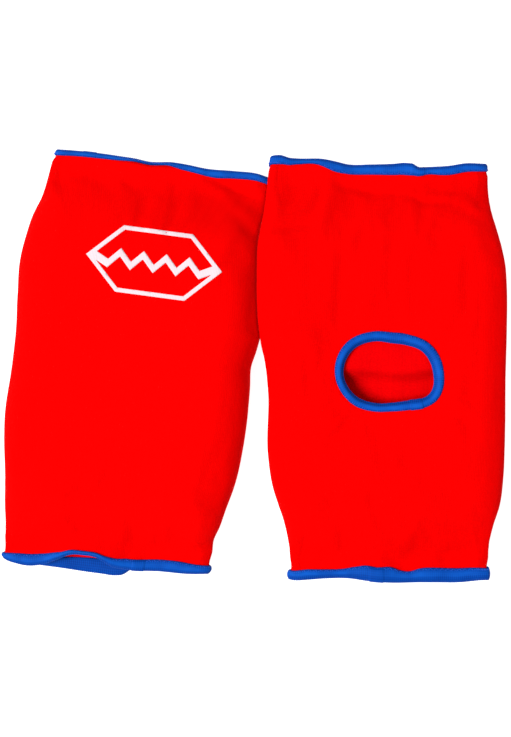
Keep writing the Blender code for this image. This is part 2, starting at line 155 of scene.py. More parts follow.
# How far each cuff's edge reaches beyond the half length, as (x, reach), on both layers.
CUFF_EDGES = {
    ("left", "upper", "top"): [
        (-64, -0.6), (-52, 0.0), (-39, 0.2), (-26, 0.0), (-17, -0.2), (-8, -1.0), (6, 0.6),
        (15, 0.4), (28, -0.5), (45, 0.4), (60, 0.6), (66, -0.6),
    ],
    ("left", "upper", "bottom"): [(-64, -0.6), (-20, -1.6), (20, -1.4), (66, -0.6)],
    ("left", "lower", "top"): [
        (-67, -1.6), (-63, 0.1), (-57, 1.2), (-50, 1.6), (-40, -0.8), (-31, -5.4), (-25, -8.8),
        (-16, -9.9), (-8, -9.3), (-3, -7.2), (2, -5.0), (11, -4.1), (32, -5.6), (50, -6.4),
        (62, -8.0),
    ],
    ("left", "lower", "bottom"): [
        (-67, -1.6), (-62, 0.3), (-44, 0.9), (-30, 0.9), (-14, 1.2), (-4, 1.2), (4, 1.2), (9, 0.0),
        (14, -4.0), (20, -6.0), (32, -7.0), (62, -8.0),
    ],
    ("right", "upper", "top"): [
        (-69, 5.0), (-66, 6.9), (-63, 7.4), (-60, 7.2), (-55, 5.5), (-50, 5.0), (-34, 4.3),
        (-27, 2.8), (-19, 0.8), (-5, 0.4), (10, 0.4), (17, 0.7), (21, 0.0), (25, -2.4), (32, -2.4),
        (45, -1.6), (54, -0.4), (66, -0.9),
    ],
    ("right", "upper", "bottom"): [
        (-69, 4.6), (-66, 5.6), (-60, 5.2), (-50, 3.0), (0, -1.2), (66, -0.9),
    ],
    ("right", "lower", "top"): [
        (-64, -2.4), (-59, -1.2), (-50, -1.3), (-40, -1.8), (-24, -1.5), (-14, 0.1), (-4, 1.3),
        (6, 1.9), (18, 2.0), (30, 2.4), (44, 2.8), (57, 1.9),
    ],
    ("right", "lower", "bottom"): [
        (-64, -2.4), (-57, -1.2), (-20, -2.5), (0, 0.6), (41, 2.0), (60, 1.0),
    ],
}

# How high each cuff's upper layer stands above its usual height, as (x, rise).
CUFF_RISES = {
    ("left", "upper"): [(-60, -1.0), (-20, 0.6), (20, -0.6), (60, -1.0)],
    ("left", "lower"): [(-60, -1.2), (-46, -0.6), (-22, 5.0), (-4, 3.6), (12, 0.2), (60, -1.0)],
    ("right", "upper"): [(-60, -0.6), (-30, 1.0), (-18, -0.6), (20, 0.6), (60, -1.0)],
    ("right", "lower"): [(-60, -1.0), (-24, -0.4), (-6, 1.2), (10, -0.4), (60, -1.0)],
}

# How far the tape reaches over each cuff's outside, as (x, width).
TAPE_WIDTHS = {
    ("left", "upper"): [
        (-66, 4.0), (-54, 3.6), (-40, 3.4), (-28, 3.0), (-18, 2.2), (-8, 1.6), (2, 2.2), (12, 3.8),
        (24, 4.4), (40, 4.8), (66, 4.6),
    ],
    ("left", "lower"): [
        (-67, 2.6), (-63, 4.8), (-57, 6.6), (-46, 7.4), (-37, 6.2), (-28, 3.8), (-20, 2.9),
        (-12, 2.9), (-4, 3.6), (2, 5.4), (8, 6.5), (18, 7.1), (33, 7.5), (44, 7.4), (55, 5.9),
        (62, 5.2),
    ],
    ("right", "upper"): [
        (-66, 5.6), (-61, 6.0), (-51, 4.0), (-38, 3.8), (-32, 5.4), (-27, 6.6), (-19, 6.3),
        (-3, 6.6), (12, 7.3), (20, 7.6), (26, 5.2), (44, 5.9), (54, 5.6), (66, 5.0),
    ],
    ("right", "lower"): [
        (-63, 5.8), (-52, 6.6), (-40, 5.8), (-28, 6.1), (-20, 8.2), (-15, 9.6), (-8, 9.3), (2, 9.6),
        (8, 7.6), (13, 7.0), (20, 8.8), (36, 9.1), (50, 8.7), (62, 7.6),
    ],
}

# How far the tape reaches inside the cuff over the lower layer, as (x, width).
INNER_WIDTHS = [
    (-50, 6.2), (-42, 6.6), (-36, 6.8), (-29, 7.1), (-23, 8.0), (-14, 9.0), (2, 9.2), (20, 7.0),
]

# Where a tape's two ends lap, as (x, length), on the upper layer.
LAPS = {
    ("left", "upper"): (-50.0, 9.0),
    ("left", "lower"): (14.0, 8.0),
    ("right", "upper"): (20.0, 9.0),
    ("right", "lower"): (-12.0, 9.0),
}

# Soft wrinkles, as (from x, y, to x, y, half width, depth), on each pad's upper layer.
WRINKLES = {
    "left": [
        (28, 124, 72, 110.5, 2.7, 3.1), (42, 116, 70, 104, 3.0, 1.3), (46, 102, 71, 86, 4.0, 1.6),
        (52, 84, 74, 60, 6.0, 0.8), (-62, 112, -30, 119, 3.5, 0.5),
        (-60, -112, -30, -118, 3.5, 0.5), (44, -104, 62, -112, 3.0, 0.7),
    ],
    "right": [
        (-66, 88, -40, 94, 3.5, 1.3), (-42, 95, -34, 112, 3.0, 1.0), (-28, 116, 10, 110, 3.0, 0.8),
        (8, 110, 46, 103, 3.5, 0.7), (44, 103, 70, 86, 4.0, 1.3), (62, 84, 74, 62, 4.0, 0.8),
        (2, -108, 58, -113, 4.0, 1.3), (22, -92, 64, -101, 5.0, 1.4),
        (-4, -114, 14, -119, 3.0, 1.2), (-58, -108, -30, -114, 3.5, 0.5),
    ],
}

# Elbow opening: its centre, and how far its inside edge is from there in 12 directions.
OPENING = {
    "right": {
        "centre": (4.2, 0.0),
        "reach": [25.5, 23.1, 18.9, 17.9, 22.0, 27.4, 29.3, 26.4, 21.4, 18.7, 20.2, 27.0],
    },
    "left": {
        "centre": (-4.3, -0.3),
        "reach": [28.6, 26.4, 21.8, 18.9, 19.8, 25.2, 27.6, 25.0, 20.6, 18.8, 21.4, 26.6],
    },
}
OPENING_TAPE = {"left": 6.0, "right": 6.1}
OPENING_LAP = {"left": (math.radians(240), 7.0), "right": (math.radians(301), 7.0)}

EMBLEM_CENTRE = (4.0, 65.4)
BLEND_REACH = 45.0  # how far from the crease the bend spreads


def pad_frame(side, sign):
    """Where a pad lies, from its elbow joint, and its two bodies."""
    joint = JOINTS[f"{side}_elbow_bend"]
    axis = Vector(joint["axis"]) * sign
    x, y, _ = joint["pos_m"]
    return {
        "side": side,
        "place": np.array([x / MM, y / MM]),
        "turn": math.atan2(axis.y, axis.x),
        "foam_up": side == "left",
        "upper": f"{side}_upper_arm_half",
        "lower": f"{side}_forearm_half",
    }


PADS = {"right": pad_frame("right", -1), "left": pad_frame("left", 1)}


# Small mathematics


def through(points, at):
    """Values at places on the smooth curve through (place, value) points, level past its ends."""
    px, py = (np.array(column, float) for column in zip(*points, strict=True))
    slope = np.gradient(py, px)
    x = np.clip(np.asarray(at, float), px[0], px[-1])
    i = np.clip(np.searchsorted(px, x, side="right") - 1, 0, len(px) - 2)
    span = px[i + 1] - px[i]
    t = (x - px[i]) / span
    return (
        (2 * t**3 - 3 * t**2 + 1) * py[i]
        + (t**3 - 2 * t**2 + t) * span * slope[i]
        + (3 * t**2 - 2 * t**3) * py[i + 1]
        + (t**3 - t**2) * span * slope[i + 1]
    )


def smooth(share):
    share = np.clip(share, 0.0, 1.0)
    return share * share * (3 - 2 * share)


def mix(a, b, share):
    return a + (b - a) * share


def unit(vectors):
    return vectors / np.maximum(np.linalg.norm(vectors, axis=-1, keepdims=True), 1e-9)


def turned(x, y, angle):
    return x * math.cos(angle) - y * math.sin(angle), x * math.sin(angle) + y * math.cos(angle)


def to_world(pad, points):
    """Points in a pad's frame, in millimetres, as points in the shared frame in metres."""
    points = np.asarray(points, float)
    x, y = turned(points[..., 0], points[..., 1], pad["turn"])
    return np.stack([x + pad["place"][0], y + pad["place"][1], points[..., 2]], -1) * MM


def other_frame(pad, other, x, y):
    """A place in one pad's frame as a place in the other's."""
    x, y = turned(x, y, pad["turn"])
    x, y = x + pad["place"][0] - other["place"][0], y + pad["place"][1] - other["place"][1]
    return turned(x, y, -other["turn"])


# Shape of the sleeve


def half_width(pad, side, y):
    """Half width at the outside of the knit. The left pad's edge tucks under the right pad's."""
    width = through(OUTLINES[(pad["side"], side)], y)
    if pad["side"] == "left" and side > 0:
        right = PADS["right"]
        for _ in range(4):
            x_r, y_r = other_frame(pad, right, width, y)
            under = mix(0.8, 0.05, cuffness(y_r))  # how far it reaches under the right pad's
            spare = under - through(OUTLINES[("right", -1)], y_r) - x_r
            width = np.where((y > 8) & (spare < 0), width + spare, width)
    return width


def cuffness(y):
    return smooth((np.abs(y) - ROOF_ENDS) / (CUFF_STARTS - ROOF_ENDS))


def tuck(pad, side, y):
    """How far the knit is drawn in where the tape grips it. Less where the pads meet."""
    meeting = pad["side"] == "left" and side > 0
    above = 0.3 if meeting else 1.5
    return np.where(y > 0, above * smooth((y - 120.5) / 5), 1.1 * smooth((-y - 114) / 9))


def fold_height(pad, side, y):
    """Height of the side fold. Where the pads meet, the right pad's edge stands over the left's."""
    over_foam = np.full_like(y, FOLD_HEIGHT[pad["side"]])
    apart = 2.0 * smooth((y + pad["place"][1] + 5) / 25)
    if pad["side"] == "left" and side > 0:
        over_foam = over_foam - apart
    if pad["side"] == "right" and side < 0:
        over_foam = over_foam + apart
    return mix(over_foam, (FLOOR + CUFF_ROOF) / 2 - 0.3, cuffness(y))


def side_radius(pad, top, y):
    return mix(FOLD_CURVES[pad["side"], top], CUFF_CURVE, cuffness(y))


def cuff_value(table, pad, y, x, layer=None):
    """A cuff's value at x, from the upper arm's table for y > 0 and the forearm's for y < 0."""
    keys = [(pad["side"], half) + ((layer,) if layer else ()) for half in ("upper", "lower")]
    return np.where(y > 0, through(table[keys[0]], x), through(table[keys[1]], x))


def cuff_slant(pad, top, x, y):
    """How far along the sleeve a cuff's slant moves a place."""
    reach = cuff_value(CUFF_EDGES, pad, y, x, "top" if top else "bottom")
    return np.sign(y) * smooth((np.abs(y) - SLANT_STARTS) / SLANT_SPREAD) * reach


def wrinkle_depth(pad, x, y):
    """How deep the wrinkles are at a place."""
    depth = np.zeros_like(x)
    for x0, y0, x1, y1, width, height in WRINKLES[pad["side"]]:
        along = np.array([x1 - x0, y1 - y0])
        t = ((x - x0) * along[0] + (y - y0) * along[1]) / (along @ along)
        off = np.hypot(x - x0 - np.clip(t, 0, 1) * along[0], y - y0 - np.clip(t, 0, 1) * along[1])
        fade = smooth(1.2 - np.abs(np.clip(t, -0.5, 1.5) - 0.5) * 1.7)
        depth += height * fade * np.exp(-((off / width) ** 2))
    return depth * mix(1, smooth((70 - np.abs(x)) / 14), cuffness(y))


def unevenness(pad, x, y, top):
    """The cloth's slow rise and fall."""
    seed = {"left": 0.0, "right": 40.0}[pad["side"]] + (0 if top else 90)
    slow = np.sin(x / 31 + y / 47 + seed) + 0.6 * np.sin(x / 17 - y / 23 + 2 * seed)
    gathers = np.sin(x / 2.9 + 1.7 * np.sin(x / 13 + seed))
    at_tape = np.exp(-(((np.abs(y) - 116) / 7) ** 2))
    return 0.28 * slow + 0.22 * (gathers * at_tape)


def floor_level(pad, x, y):
    """Height of the lower layer's middle over the flat part of the sleeve."""
    return FLOOR + 0.25 * (unevenness(pad, x, y, False) + 0.5)


def roof_level(pad, x, y):
    """Height of the upper layer's middle over the flat part of the sleeve."""
    side = pad["side"]
    level = mix(ROOF[side], CUFF_ROOF + cuff_value(CUFF_RISES, pad, y, x), cuffness(y))
    if pad["foam_up"]:
        level = level + 1.2 * np.exp(-((x / 48) ** 2) - (y / 95) ** 2)
    else:
        sag = np.exp(-(((x - 4) / 46) ** 2) - (y / 40) ** 2)
        level = level - 3.6 * sag
        corner = 4.6 * smooth((-y - 62) / 45) * smooth((x - 14) / 38)
        level = level - corner * (1 - cuffness(y) * 0.45)
    return level + unevenness(pad, x, y, True) - wrinkle_depth(pad, x, y)


def edge_lift(pad, x, y):
    """How far the right pad's edge stands up where it rests on the left pad's."""
    if pad["side"] == "left":
        return np.zeros_like(x)
    return 3.0 * smooth((-40 - x) / 30) * smooth((y - 5) / 30)


def layer_points(pad, top, column, y):
    """Points on the middle surface of the upper or lower layer, with their cuff's slant."""
    column, y = np.broadcast_arrays(np.asarray(column, float), np.asarray(y, float))
    points = np.zeros(column.shape + (3,))
    for side in (-1, 1):
        half = column < 0 if side < 0 else column >= 0
        c, v = np.abs(column[half]), y[half]
        radius = side_radius(pad, top, v)
        flat = half_width(pad, side, v) - KNIT / 2 - tuck(pad, side, v) - radius
        angle = np.maximum(c - 1, 0) * math.pi / 2
        x = side * (flat * np.minimum(c, 1) + radius * np.sin(angle))
        fold = fold_height(pad, side, v)
        level = roof_level(pad, x, v) if top else floor_level(pad, x, v)
        z = fold + (level - fold) * np.cos(angle) ** FOLD_POWER + edge_lift(pad, x, v)
        points[half] = np.stack([x, v + cuff_slant(pad, top, x, v), z], -1)
    return points


def layer_height(pad, top, x, y):
    """Height of a layer's middle over a place, its side folds included."""
    out = np.zeros_like(x)
    straight = y - cuff_slant(pad, top, x, y)
    for side in (-1, 1):
        half = x < 0 if side < 0 else x >= 0
        u, v = x[half], straight[half]
        radius = side_radius(pad, top, v)
        flat = half_width(pad, side, v) - KNIT / 2 - tuck(pad, side, v) - radius
        past = np.clip((np.abs(u) - flat) / radius, 0, 0.995)
        level = roof_level(pad, u, v) if top else floor_level(pad, u, v)
        fold = fold_height(pad, side, v)
        curve = np.cos(np.arcsin(past)) ** FOLD_POWER
        out[half] = fold + (level - fold) * curve + edge_lift(pad, u, v)
    return out


def girth_columns(fine):
    """Columns round the sleeve, from the left fold over the top to the right fold and back."""
    bend = np.linspace(0, 1, round(13 * fine) + 1)
    flat = np.linspace(-1, 1, round(44 * fine) + 1)
    over = np.concatenate([-2 + bend[:-1], flat[:-1], 1 + bend[:-1]])
    top = np.concatenate([np.ones(len(over), bool), np.zeros(len(over), bool)])
    return np.concatenate([over, -over]), top


def tube_points(pad, columns, top, y):
    """Points round the sleeve at rows y: an array of rows by columns."""
    grid_y = np.repeat(np.asarray(y, float)[:, None], len(columns), 1)
    grid_c = np.repeat(columns[None, :], len(grid_y), 0)
    over = layer_points(pad, True, grid_c, grid_y)
    under = layer_points(pad, False, grid_c, grid_y)
    return np.where(top[None, :, None], over, under)


def tube_normals(points):
    """Outward unit normals of a tube's grid of rows by columns."""
    around = np.roll(points, -1, 1) - np.roll(points, 1, 1)
    along = np.gradient(points, axis=0)
    return unit(np.cross(around, along))


def opening_reach(pad, angle):
    """How far the opening's inside edge is from its centre, in a direction."""
    reach = OPENING[pad["side"]]["reach"]
    turns = np.mod(angle / math.tau, 1.0) * len(reach)
    places = [(i - 3, reach[(i - 3) % len(reach)]) for i in range(len(reach) + 6)]
    return through(places, turns)


def past_opening(pad, x, y):
    """How far outside the opening's inside edge a place is. It is less than 0 inside."""
    cx, cy = OPENING[pad["side"]]["centre"]
    return np.hypot(x - cx, y - cy) - opening_reach(pad, np.arctan2(y - cy, x - cx))


def opening_curve(pad, grow, count):
    """Points round the opening, grown outwards from its inside edge."""
    cx, cy = OPENING[pad["side"]]["centre"]
    t = np.linspace(0, math.tau, count, endpoint=False)
    reach = opening_reach(pad, t)
    x, y = cx + reach * np.cos(t), cy + reach * np.sin(t)
    tangent = unit(np.stack([np.roll(x, -1) - np.roll(x, 1), np.roll(y, -1) - np.roll(y, 1)], -1))
    return x + grow * tangent[:, 1], y - grow * tangent[:, 0]


# Meshes


def linked(name, data):
    """A new object in the scene."""
    made = bpy.data.objects.new(name, data)
    bpy.context.scene.collection.objects.link(made)
    return made


def evaluated_mesh(source):
    """A new mesh with what an object's modifiers or bevel make of it."""
    graph = bpy.context.evaluated_depsgraph_get()
    return bpy.data.meshes.new_from_object(source.evaluated_get(graph))


def new_mesh(name, points, faces, uvs=None, material=None):
    """An object from points in metres. uvs gives one place for each face corner."""
    mesh = bpy.data.meshes.new(name)
    mesh.from_pydata([tuple(p) for p in points], [], faces)
    if uvs is not None:
        layer = mesh.uv_layers.new(name="UVMap")
        layer.data.foreach_set("uv", np.asarray(uvs, np.float32).ravel())
    mesh.shade_smooth()
    if material:
        mesh.materials.append(material)
    return linked(name, mesh)


def ring_faces(rows, columns):
    """Faces of a grid that closes round its columns."""
    faces = []
    for i in range(rows - 1):
        for j in range(columns):
            k = (j + 1) % columns
            faces.append(
                (i * columns + j, i * columns + k, (i + 1) * columns + k, (i + 1) * columns + j)
            )
    return faces


def grid_mesh(pad, name, points, around, along, material, closed=True, drop=None):
    """A grid of rows by columns. around and along are the cloth's own coordinates."""
    rows, columns = points.shape[:2]
    last = columns if closed else columns - 1
    around, along = around * MM, along * MM
    around = np.append(around, around[-1] * 2 - around[-2]) if closed else around
    faces, uvs = [], []
    for i in range(rows - 1):
        for j in range(last):
            k = (j + 1) % columns
            corners = [(i, j, j), (i, k, j + 1), (i + 1, k, j + 1), (i + 1, j, j)]
            if drop is not None and any(drop[r, c] for r, c, _ in corners):
                continue
            faces.append([r * columns + c for r, c, _ in corners])
            uvs += [(around[u], along[r]) for r, _, u in corners]
    flat = to_world(pad, points).reshape(-1, 3)
    used = np.unique(np.array(faces))
    renumber = -np.ones(len(flat), int)
    renumber[used] = np.arange(len(used))
    faces = [[int(renumber[v]) for v in face] for face in faces]
    return new_mesh(f"{pad['side']}_{name}", flat[used], faces, uvs, MATERIALS[material])


def thicken(piece, thickness):
    """Gives a surface a thickness, half to each side, as part of its mesh."""
    modifier = piece.modifiers.new("thickness", "SOLIDIFY")
    modifier.thickness = thickness * MM
    modifier.offset = 0.0
    modifier.use_even_offset = False
    mesh = evaluated_mesh(piece)
    old = piece.data
    piece.modifiers.clear()
    piece.data = mesh
    bpy.data.meshes.remove(old)
    mesh.shade_smooth()


def curve_mesh(curve):
    """A curve's mesh. The curve is deleted."""
    source = linked(curve.name, curve)
    bpy.context.view_layer.update()
    mesh = evaluated_mesh(source)
    bpy.data.objects.remove(source)
    bpy.data.curves.remove(curve)
    return mesh


# Materials


class Nodes:
    """A short way to write a material's node tree."""

    def __init__(self, name, colour, roughness):
        self.material = bpy.data.materials.new(name)
        self.material.use_nodes = True
        self.tree = self.material.node_tree
        self.shader = self.tree.nodes["Principled BSDF"]
        self.shader.inputs["Base Color"].default_value = (*colour, 1)
        self.shader.inputs["Roughness"].default_value = roughness
        self.material.diffuse_color = (*colour, 1)

    def node(self, kind, settings=None, **inputs):
        made = self.tree.nodes.new(kind)
        for key, value in (settings or {}).items():
            setattr(made, key, value)
        for key, value in inputs.items():
            numbered = key[0] == "i" and key[1:].isdigit()
            self.put(made.inputs[int(key[1:]) if numbered else key.replace("_", " ")], value)
        return made

    def put(self, socket, value):
        if isinstance(value, bpy.types.NodeSocket):
            self.tree.links.new(value, socket)
        else:
            socket.default_value = value

    def cloth(self):
        """The cloth's own coordinates: both, across and along."""
        uv = self.node("ShaderNodeUVMap", {"uv_map": "UVMap"}).outputs[0]
        parts = self.node("ShaderNodeSeparateXYZ", Vector=uv)
        return uv, parts.outputs[0], parts.outputs[1]

    def place(self):
        return self.node("ShaderNodeTexCoord").outputs["Object"]

    def math(self, operation, a, b):
        return self.node("ShaderNodeMath", {"operation": operation}, i0=a, i1=b).outputs[0]

    def wave(self, value, per_metre=None):
        """How far a value is from the nearest middle of its turns, from 0 to 0.5."""
        if per_metre:
            value = self.math("MULTIPLY", value, per_metre)
        return self.math("ABSOLUTE", self.math("SUBTRACT", self.math("FRACT", value, 0), 0.5), 0)

    def ramp(self, value, low, high, to_low=0.0, to_high=1.0):
        settings = {"interpolation_type": "SMOOTHSTEP"}
        limits = {"From_Min": low, "From_Max": high, "To_Min": to_low, "To_Max": to_high}
        return self.node("ShaderNodeMapRange", settings, Value=value, **limits).outputs[0]

    def noise(self, scale, detail=3.0, vector=None):
        sizes = {"Scale": scale, "Detail": detail}
        made = self.node("ShaderNodeTexNoise", Vector=vector or self.place(), **sizes)
        return made.outputs["Fac"]

    def mix_colour(self, share, a, b):
        made = self.node("ShaderNodeMix", {"data_type": "RGBA"})
        self.put(made.inputs["Factor"], share)
        for socket, value in ((made.inputs[6], a), (made.inputs[7], b)):
            self.put(socket, value if isinstance(value, bpy.types.NodeSocket) else (*value, 1))
        return made.outputs[2]

    def bump(self, height, strength, distance, normal=None):
        made = self.node("ShaderNodeBump", Height=height, Strength=strength, Distance=distance)
        if normal:
            self.put(made.inputs["Normal"], normal)
        return made.outputs["Normal"]

    def set(self, **values):
        for key, value in values.items():
            self.put(self.shader.inputs[key.replace("_", " ")], value)


def knit_material(name, bright, deep, wale=WALE, course=COURSE):
    """Plain knit: columns of small Vs with painted shade in the grooves between them, and a slow
    unevenness of colour.
    """
    n = Nodes(name, bright, 0.85)
    uv, across, along = n.cloth()
    off = n.wave(across, 1000 / wale)
    lift = n.math("MULTIPLY", off, 1.1)
    row = n.wave(n.math("ADD", n.math("MULTIPLY", along, 1000 / course), lift))
    strand = n.ramp(row, 0.5, 0.12)
    rib = n.ramp(off, 0.02, 0.28)
    rib = n.math("MULTIPLY", rib, n.ramp(off, 0.5, 0.36))
    height = n.math("MULTIPLY", strand, rib)
    slow = n.noise(38.0, 3.0)
    fine = n.noise(900.0, 2.0)
    drawn = n.node("ShaderNodeVectorMath", {"operation": "MULTIPLY"}, i0=uv, i1=(1.0, 0.07, 1.0))
    streak = n.noise(420.0, 2.0, drawn.outputs[0])
    tone = n.math("ADD", n.math("MULTIPLY", slow, 0.3), n.math("MULTIPLY", fine, 0.2))
    tone = n.math("ADD", tone, n.math("MULTIPLY", streak, 0.3))
    # Painted shade: the grooves between the knit's Vs are darker and the raised Vs lighter.
    tone = n.math("ADD", tone, n.math("MULTIPLY", height, 0.42))
    colour = n.mix_colour(n.ramp(tone, 0.22, 0.95), deep, bright)
    n.set(Base_Color=colour, Roughness=n.ramp(fine, 0.3, 0.7, 0.78, 0.92))
    n.set(Normal=n.bump(height, 0.6, 0.0003, n.bump(fine, 0.15, 0.0003)))
    n.set(Specular_IOR_Level=0.015, Sheen_Weight=0.12, Sheen_Roughness=0.5, Sheen_Tint=(1, 0, 0, 1))
    return n.material


def tape_material():
    """Ribbed elastic: cords along the tape crossed by fine gathers, with painted shade in the
    valleys between them and a painted highlight along the middle of its outer face.
    """
    n = Nodes("elastic_tape", (0.004, 0.085, 0.60), 0.6)
    _, turns, across = n.cloth()
    ribs = n.ramp(n.wave(turns), 0.5, 0.1)
    cords = n.ramp(n.wave(across, 1000 / CORD), 0.5, 0.15)
    height = n.math("ADD", n.math("MULTIPLY", ribs, 0.65), n.math("MULTIPLY", cords, 0.35))
    fine = n.noise(1200.0, 2.0)
    slow = n.noise(90.0, 2.0)
    # Painted shade and highlight: ribs and cords are lighter on their tops and darker in the
    # valleys between them.
    tone = n.math("ADD", n.math("MULTIPLY", height, 0.6), n.math("MULTIPLY", slow, 0.5))
    colour = n.mix_colour(n.ramp(tone, 0.2, 0.95), (0.0, 0.026, 0.20), (0.001, 0.060, 0.37))
    middle = 0.0030  # of the tape's outer face, where a lighter band is painted as a highlight
    off_middle = n.math("ABSOLUTE", n.math("SUBTRACT", across, middle), 0)
    patches = n.ramp(slow, 0.3, 0.75, 0.35, 0.9)
    # Painted highlight: a lighter band along the middle of the tape's outer face, in patches.
    painted_highlight = n.math("MULTIPLY", n.ramp(off_middle, 0.0021, 0.0004), patches)
    colour = n.mix_colour(painted_highlight, colour, (0.003, 0.088, 0.47))
    n.set(Base_Color=colour, Roughness=n.ramp(fine, 0.3, 0.7, 0.45, 0.65))
    n.set(Normal=n.bump(height, 0.6, 0.0003, n.bump(fine, 0.12, 0.0002)))
    n.set(Specular_IOR_Level=0.04, Sheen_Weight=0.02, Sheen_Tint=(0.1, 0.4, 1, 1))
    return n.material


def thread_material(name, dark, light):
    n = Nodes(name, light, 0.55)
    settings = {"bands_direction": "DIAGONAL"}
    wave = n.node("ShaderNodeTexWave", settings, Vector=n.place(), Scale=420.0, Distortion=0.5)
    twist = wave.outputs["Fac"]
    colour = n.mix_colour(n.ramp(twist, 0.2, 0.8), dark, light)
    n.set(Base_Color=colour, Normal=n.bump(twist, 0.3, 0.0001))
    n.set(Specular_IOR_Level=0.2)
    return n.material


def foam_material():
    n = Nodes("closed_cell_foam", (0.80, 0.78, 0.71), 0.95)
    cells = n.node("ShaderNodeTexVoronoi", {"feature": "F1"}, Vector=n.place(), Scale=900.0)
    slow = n.noise(60.0)
    colour = n.mix_colour(n.ramp(slow, 0.3, 0.7), (0.70, 0.67, 0.58), (0.84, 0.82, 0.76))
    n.set(Base_Color=colour, Normal=n.bump(cells.outputs["Distance"], 0.5, 0.0004))
    n.set(Specular_IOR_Level=0.1)
    return n.material


def ink_material():
    """Screen print that has sunk a little into the knit."""
    n = Nodes("screen_print", (0.94, 0.86, 0.88), 0.55)
    _, across, _ = n.cloth()
    ridges = n.ramp(n.wave(across, 1000 / WALE), 0.5, 0.1)
    slow = n.noise(120.0)
    wear = n.noise(1500.0, 2.0)
    tone = n.math("ADD", n.math("MULTIPLY", ridges, 0.4), n.math("MULTIPLY", slow, 0.6))
    colour = n.mix_colour(n.ramp(tone, 0.1, 0.7), (0.63, 0.505, 0.55), (0.70, 0.575, 0.615))
    n.set(Base_Color=colour, Roughness=n.ramp(wear, 0.3, 0.7, 0.45, 0.7))
    n.set(Normal=n.bump(ridges, 0.35, 0.0002, n.bump(wear, 0.2, 0.0002)))
    n.set(Specular_IOR_Level=0.2)
    return n.material


MATERIALS = {
    "knit": knit_material("sleeve_knit", (0.87, 0.0, 0.0), (0.71, 0.0, 0.0)),
    "lining": knit_material("lining_knit", (0.87, 0.0, 0.001), (0.67, 0.0, 0.001), 0.8, 0.65),
    "tape": tape_material(),
    "thread": thread_material("binding_thread", (0.003, 0.045, 0.36), (0.02, 0.11, 0.60)),
    "red_thread": thread_material("seam_thread", (0.45, 0.0, 0.0), (0.80, 0.01, 0.01)),
    "foam": foam_material(),
    "ink": ink_material(),
}


# Pieces


def bend(piece, pad):
    """Bakes the piece's transform into its mesh. The bend's two ends are worked out but not used,
    so the piece does not bend with the elbow.
    """
    start, end = to_world(pad, [(0, BLEND_REACH, 0), (0, -BLEND_REACH, 0)])
    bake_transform(piece)


def nodes_of(pad, *names):
    return [f"{pad['side']}_{name}_{half}" for name in names for half in ("upper", "lower")]


def simulate(pad, points, held):
    """How far the cloth moves, in the pad's frame, when it shrinks and fills out between holds."""
    rest = to_world(pad, points).reshape(-1, 3)
    trial = new_mesh("settling", rest, ring_faces(*points.shape[:2]))
    group = trial.vertex_groups.new(name="held")
    for share in HELD_SHARES:
        corners = [int(v) for v in np.flatnonzero(np.isclose(held.ravel(), share))]
        group.add(corners, share, "REPLACE")
    modifier = trial.modifiers.new("cloth", "CLOTH")
    cloth = modifier.settings
    cloth.vertex_group_mass = "held"
    cloth.quality = 6
    cloth.mass = 0.15
    cloth.tension_stiffness = cloth.compression_stiffness = 18
    cloth.shear_stiffness = 6
    cloth.bending_stiffness = 0.4
    cloth.shrink_min = -0.022
    cloth.use_pressure = True
    cloth.uniform_pressure_force = 2.0
    cloth.effector_weights.gravity = 0
    modifier.collision_settings.use_collision = False
    modifier.point_cache.frame_start = 1
    modifier.point_cache.frame_end = SETTLE_STEPS
    for number in range(1, SETTLE_STEPS + 1):
        bpy.context.scene.frame_set(number)
    graph = bpy.context.evaluated_depsgraph_get()
    mesh = trial.evaluated_get(graph).to_mesh()
    settled = np.empty(len(mesh.vertices) * 3, np.float32)
    mesh.vertices.foreach_get("co", settled)
    bpy.context.scene.frame_set(1)
    bpy.data.objects.remove(trial)
    moved = (settled.reshape(-1, 3) - rest) / MM
    x, y = turned(moved[:, 0], moved[:, 1], -pad["turn"])
    return np.stack([x, y, moved[:, 2]], -1).reshape(points.shape)


def averaged(values, times):
    """Values of a grid that closes round its columns, each averaged with its neighbours."""
    for _ in range(times):
        around = 0.25 * (np.roll(values, 1, 1) + np.roll(values, -1, 1)) + 0.5 * values
        before = np.concatenate([around[:1], around[:-1]])
        after = np.concatenate([around[1:], around[-1:]])
        values = 0.25 * (before + after) + 0.5 * around
    return values


def settle(pad, points, held, column_at):
    """The sleeve's cloth with the small buckles of a simulation, and little of its swelling."""
    moved = simulate(pad, points, held)
    normals = tube_normals(points)
    out = (moved * normals).sum(-1, keepdims=True)
    along = moved - out * normals
    swell = averaged(out, 60)
    most_out, most_in, most_slide = 1.3, 0.5, 0.5
    buckles = 0.8 * (out - swell) + 0.12 * swell
    most = np.where(buckles > 0, most_out, most_in)
    buckles = most * np.tanh(buckles / most)
    at_fold = np.exp(-(((np.abs(column_at) - 2) / 0.5) ** 2))
    buckles = buckles * (1 - 0.85 * at_fold)[None, :, None]
    buckles = buckles * smooth((HALF_LENGTH - np.abs(points[..., 1:2])) / 34)
    slide = np.maximum(np.linalg.norm(along, axis=-1, keepdims=True), 1e-6)
    return points + buckles * normals + along * np.minimum(1.0, most_slide / slide)


def cloth_tree(pad):
    """The settled sleeve's middle surface, to lay things on, in the pad's frame."""
    points = pad["cloth"]
    corners = [tuple(p) for p in points.reshape(-1, 3)]
    return BVHTree.FromPolygons(corners, ring_faces(*points.shape[:2]))


